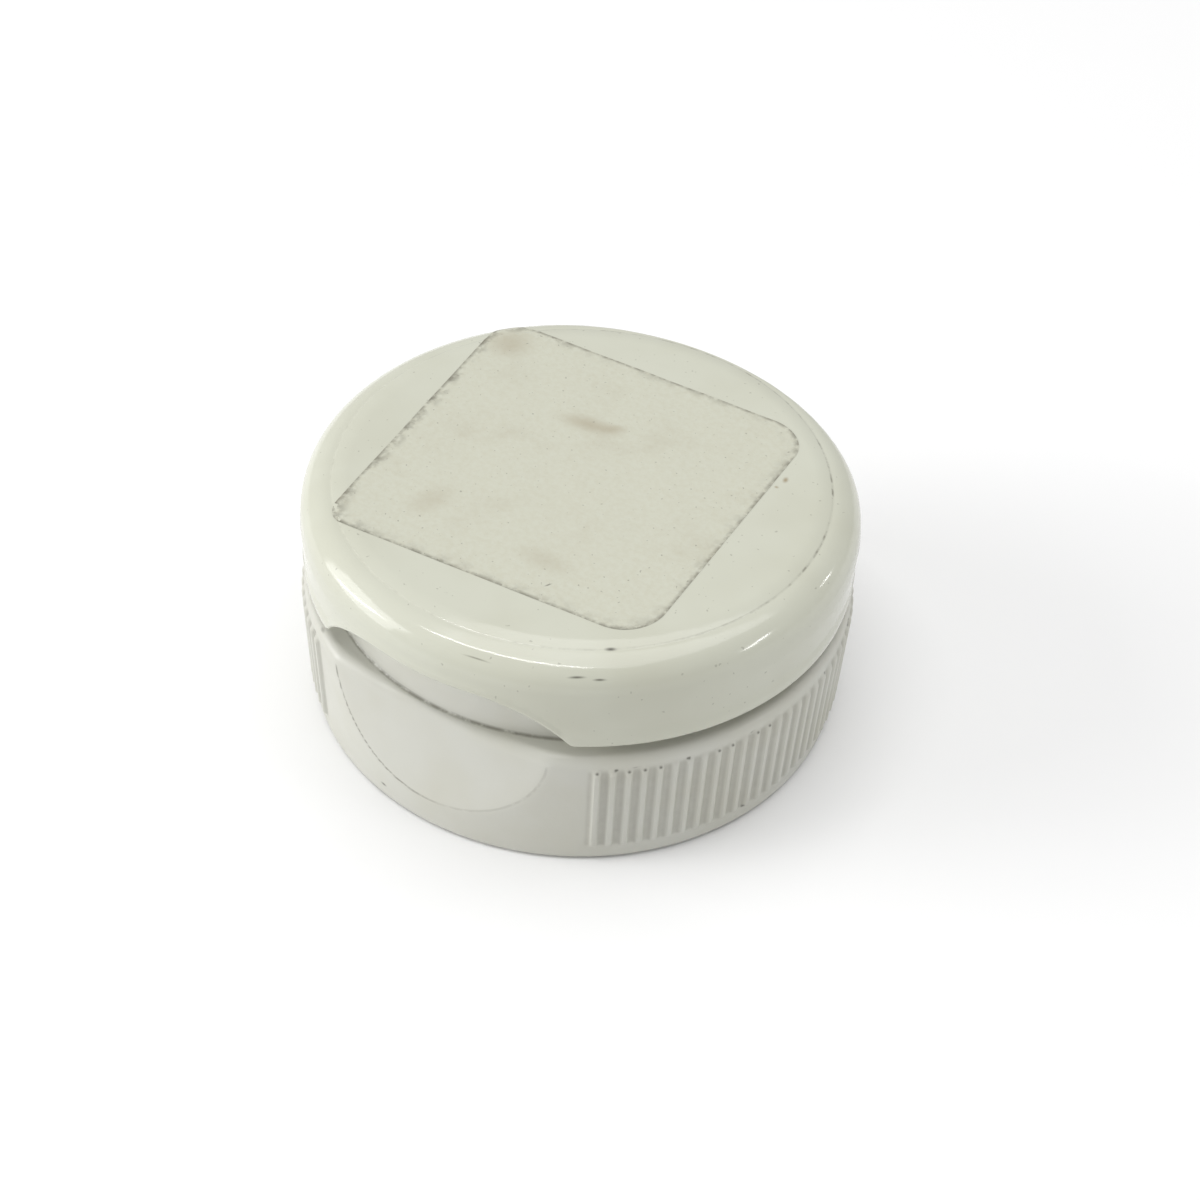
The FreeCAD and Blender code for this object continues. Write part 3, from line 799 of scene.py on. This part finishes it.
PAPER_MARKS = [
    ((-2.4, 5.0, 18.9), (3.6, 1.3, 3.0), 8.0, 0.42, BROWN),
    ((-0.6, 5.6, 18.9), (1.5, 0.8, 3.0), 30.0, 0.3, BROWN),
    ((-7.4, -8.8, 18.9), (2.8, 1.8, 3.0), 70.0, 0.22, BROWN),
    ((2.8, -9.7, 18.9), (3.2, 1.4, 3.0), 0.0, 0.2, BROWN),
    ((-13.2, 10.6, 18.9), (2.6, 2.8, 3.0), 0.0, 0.35, BROWN),
    ((4.3, -11.7, 18.9), (0.4, 0.1, 3.0), 60.0, 0.75, DARK_GRIME),
]
DIRTY_RIBS = (34.5, 40.5, 43.5, 46.5, 58.5, 61.5, 67.5, 70.5)


def rib_head_marks():
    """A dark dot at the head of each soiled rib, by the rib's turn."""
    marks = []
    for turn in DIRTY_RIBS:
        angle = math.radians(turn)
        place = (RIB_CREST * math.sin(angle), -RIB_CREST * math.cos(angle), RIB_HEAD - 0.25)
        marks.append((place, (0.2, 0.35, 0.16), turn, 0.85, DARK_GRIME))
    return marks


def lid_material():
    """Glossy polypropylene with a grimy line round the disc and a few rubbed marks."""
    surface = Surface("lid_polypropylene")
    blotches = surface.noise(0.12, detail=2.0)
    tint = surface.mix(blotches.step(0.35, 0.75), POLYMER, POLYMER_WARM)
    grain = surface.noise(1.1, detail=4.0, seed=3.0)
    line = (surface.radius - (DISC + 0.03)).size().step(0.13, 0.0)
    line = line * surface.z.step(LID_TOP - 0.25, LID_TOP - 0.1) * grain.step(0.42, 0.72)
    hinge_side = (surface.x * 0.55 + surface.y * 0.83).step(-4.0, 16.0)
    line = line * (hinge_side * 0.8 + 0.2)
    layered_colour = surface.mix(line * 0.85, tint, GRIME)
    layered_colour = surface.add_marks(layered_colour, LID_MARKS)
    specks = surface.noise(2.6, detail=1.0, seed=9.0).step(0.735, 0.78)
    layered_colour = surface.mix(specks * 0.35, layered_colour, GRIME)
    # darker in a thin broken band along the lid's lower edge, by the gap over the base
    low = (surface.z - (LID_EDGE + 0.1)).size().step(0.3, 0.0) * surface.noise(0.9, seed=5.0).step(0.5, 0.75)
    layered_colour = surface.mix(low * 0.4, layered_colour, DARK_GRIME)
    surface.colour(layered_colour)
    surface.roughness(surface.noise(0.35, detail=3.0, seed=2.0) * 0.12 + 0.06)
    surface.bump(surface.noise(0.22, detail=2.0, seed=1.0), 0.25, 0.0002)
    surface.shader.inputs["IOR"].default_value = POLYMER_IOR
    return surface.material


def rib_valley_shade(surface):
    """Painted shade for the valleys between ribs: 1 in the valleys, 0 on their crests and away from them."""
    facing = surface.y / surface.radius * -1.0
    last = math.cos(math.radians(RIB_LAST + RIB_PITCH / 2))
    first = math.cos(math.radians(PANEL_HALF - RIB_PITCH / 2))
    zone = facing.step(first + 0.005, first - 0.005) * facing.step(last - 0.005, last + 0.005)
    zone = zone * surface.z.step(RIB_FOOT, RIB_FOOT + 0.4) * surface.z.step(RIB_HEAD, RIB_HEAD - 0.5)
    valley = surface.radius.step(RIB_CREST - 0.04, WALL + 0.04)
    return zone * valley * surface.radius.step(WALL - 0.4, WALL - 0.2)


def scoop_edge(surface):
    """A thin line where the scoop runs out in the wall, plainer on the left side."""
    drop = surface.z - LEDGE
    beyond = surface.y - SCOOP_PIVOT
    reach = (surface.x * surface.x + beyond * beyond).root()
    hollow = (drop * drop * -1.0 + SCOOP_HOLLOW ** 2).root()
    inside = (reach + hollow - (SCOOP_PLAN + SCOOP_HOLLOW)).step(-0.045, -0.01)
    line = inside * surface.radius.step(WALL - 0.06, WALL - 0.03) * surface.z.step(LEDGE - 0.6, LEDGE - 1.2)
    return line * (surface.x.step(2.0, -2.0) * 0.5 + 0.2)


def base_material():
    """Satin polypropylene, darker where the ring meets the ledge, with painted shade in the valleys between
    the ribs and grime in the ribs' ends.
    """
    surface = Surface("base_polypropylene")
    blotches = surface.noise(0.15, detail=2.0, seed=4.0)
    tint = surface.mix(blotches.step(0.3, 0.8), SHELL, SHELL_WARM)
    grain = surface.noise(1.4, detail=4.0, seed=7.0)
    # darker in a broken line where the ring meets the ledge, under the lid's edge
    corner = (surface.radius - (RING + 0.05)).size().step(0.22, 0.0)
    corner = corner * (surface.z - LEDGE).size().step(0.3, 0.0)
    layered_colour = surface.mix(corner * grain.step(0.3, 0.55) * 0.75, tint, GRIME)
    # painted shade: the valleys between the ribs are darkened in the colour
    layered_colour = surface.mix(rib_valley_shade(surface) * (grain * 0.3 + 0.2), layered_colour, VALLEY_SHADE)
    layered_colour = surface.mix(scoop_edge(surface) * grain.step(0.25, 0.55), layered_colour, GRIME)
    layered_colour = surface.add_marks(layered_colour, BASE_MARKS + rib_head_marks())
    heads = (surface.z - (RIB_HEAD - 0.1)).size().step(0.16, 0.0)
    heads = heads * surface.radius.step(WALL - 0.1, WALL + 0.05)
    heads = heads * surface.noise(1.1, detail=1.0, seed=11.0).step(0.62, 0.72)
    layered_colour = surface.mix(heads * 0.8, layered_colour, DARK_GRIME)
    foot = surface.z.step(0.5, 0.05) * grain.step(0.45, 0.65)
    layered_colour = surface.mix(foot * 0.45, layered_colour, GRIME)
    surface.colour(layered_colour)
    surface.roughness(surface.noise(0.5, detail=3.0, seed=6.0) * 0.14 + 0.3)
    surface.bump(surface.noise(3.0, detail=3.0, seed=8.0), 0.12, 0.0001)
    surface.shader.inputs["IOR"].default_value = POLYMER_IOR
    return surface.material


def label_material():
    """Slightly yellowed paper: soiled along its edges, a brown smudge and fine specks."""
    surface = Surface("worn_paper")
    fibres = surface.noise(2.2, detail=5.0, roughness=0.7, seed=12.0)
    tint = surface.mix(fibres.step(0.3, 0.75), PAPER, PAPER_WORN)
    attribute = surface.tree.nodes.new("ShaderNodeAttribute")
    attribute.attribute_name = "edge"
    edge = Field(surface.tree, attribute.outputs["Fac"])
    worn_side = surface.x.step(-8.0, -13.0) * 0.6 + 0.4
    border = edge.step(0.045, 0.0) * surface.noise(0.9, detail=4.0, seed=14.0).step(0.42, 0.68) * worn_side
    layered_colour = surface.mix(border * 0.75, tint, GRIME)
    line = edge.step(0.014, 0.0) * surface.noise(1.6, detail=3.0, seed=15.0).step(0.3, 0.6)
    layered_colour = surface.mix(line * 0.7, layered_colour, GRIME)
    patches = surface.noise(0.16, detail=4.0, seed=16.0).step(0.5, 0.8)
    layered_colour = surface.mix(patches * 0.22, layered_colour, BROWN)
    layered_colour = surface.add_marks(layered_colour, PAPER_MARKS)
    specks = surface.noise(3.2, detail=1.0, seed=19.0).step(0.72, 0.76)
    layered_colour = surface.mix(specks * 0.5, layered_colour, GRIME)
    surface.colour(layered_colour)
    surface.roughness(surface.noise(0.8, seed=18.0) * 0.2 + 0.42)
    surface.bump(fibres, 0.2, 0.00005)
    return surface.material


# ---------------------------------------------------------------- floor, lights and camera

FLOOR_SIZE = 6.0
FLOOR_COLOUR = (0.88, 0.88, 0.88, 1.0)


def make_floor():
    """A plain pale floor."""
    bpy.ops.mesh.primitive_plane_add(size=FLOOR_SIZE, location=(0, 0, RIM_Z * MM))
    floor = bpy.context.object
    floor.name = "floor"
    material = bpy.data.materials.new("pale_floor")
    material.use_nodes = True
    shader = material.node_tree.nodes["Principled BSDF"]
    shader.inputs["Base Color"].default_value = FLOOR_COLOUR
    shader.inputs["Roughness"].default_value = 0.9
    shader.inputs["Specular IOR Level"].default_value = 0.1
    floor.data.materials.append(material)


def area_light(name, towards, distance, size, energy, along=(1, 0, 0)):
    """A rectangular light in a direction from the lid, its long side along a direction."""
    light = bpy.data.lights.new(name, "AREA")
    light.shape = "RECTANGLE"
    light.size = size[0]
    light.size_y = size[1]
    light.energy = energy
    lamp = bpy.data.objects.new(name, light)
    bpy.context.scene.collection.objects.link(lamp)
    outward = Vector(towards).normalized()
    side = Vector(along)
    side = (side - outward * side.dot(outward)).normalized()
    upward = outward.cross(side)
    turn = Matrix((side, upward, outward)).transposed().to_4x4()
    lamp.matrix_world = Matrix.Translation(outward * distance + Vector((0, 0, LID_TOP * MM))) @ turn
    return lamp


def make_lights():
    """Soft light from above and all round, a window on the left and thin tubes for the gloss."""
    world = bpy.data.worlds.new("soft_room")
    bpy.context.scene.world = world
    world.use_nodes = True
    background = world.node_tree.nodes["Background"]
    background.inputs["Color"].default_value = (1.0, 1.0, 1.0, 1.0)
    background.inputs["Strength"].default_value = 0.42
    area_light("overhead", (0.0, 0.15, 1.0), 0.9, (0.8, 0.8), 3.9)
    area_light("ceiling_tube", (-0.12, -0.27, 0.94), 0.9, (0.62, 0.012), 1.6)
    area_light("left_window", (-0.80, -0.52, 0.33), 0.8, (0.5, 0.5), 3.0, along=(0.4, -0.9, 0))
    area_light("left_tube", (-0.80, -0.51, 0.27), 0.75, (0.3, 0.012), 0.9, along=(0.3, -0.35, 0.4))
    area_light("right_tube", (0.90, 0.15, 0.40), 0.8, (0.2, 0.012), 0.5, along=(-0.2, 0.5, 0.3))
    area_light("right_lamp", (0.62, 0.69, 0.37), 0.8, (0.05, 0.03), 0.1)


# camera: millimetres and degrees; the aims are shares of the distance
CAMERA_DISTANCE = 128.87
CAMERA_ELEVATION = 45.66
CAMERA_TURN = 29.6
CAMERA_ROLL = 3.18
AIM_RIGHT = 0.014
AIM_UP = 0.033
LENS = 47.517
SENSOR = 36.0


def make_camera():
    """The camera above the thumb side and to its right, aimed a little past the base's middle."""
    elevation = math.radians(CAMERA_ELEVATION)
    turn = math.radians(CAMERA_TURN)
    level = math.cos(elevation)
    place = Vector((level * math.sin(turn), -level * math.cos(turn), math.sin(elevation))) * CAMERA_DISTANCE
    forward = -place.normalized()
    right = forward.cross(Vector((0, 0, 1))).normalized()
    upward = right.cross(forward)
    aim = (forward + right * AIM_RIGHT + upward * AIM_UP).normalized()
    right = aim.cross(Vector((0, 0, 1))).normalized()
    upward = right.cross(aim)
    roll = math.radians(CAMERA_ROLL)
    rolled_right = right * math.cos(roll) + upward * math.sin(roll)
    rolled_up = upward * math.cos(roll) - right * math.sin(roll)
    data = bpy.data.cameras.new("camera")
    data.lens = LENS
    data.sensor_width = SENSOR
    data.clip_start = 0.005
    data.clip_end = 20.0
    camera = bpy.data.objects.new("camera", data)
    bpy.context.scene.collection.objects.link(camera)
    turn_matrix = Matrix((rolled_right, rolled_up, -aim)).transposed().to_4x4()
    camera.matrix_world = Matrix.Translation(place * MM) @ turn_matrix
    bpy.context.scene.camera = camera


def main():
    make_camera()
    base_finish = base_material()
    make_base(base_finish)
    make_thread(base_finish)
    make_lid(lid_material())
    make_hinge(base_finish)
    make_label(label_material())
    make_floor()
    make_lights()
    bpy.context.scene.view_settings.view_transform = "Standard"


main()
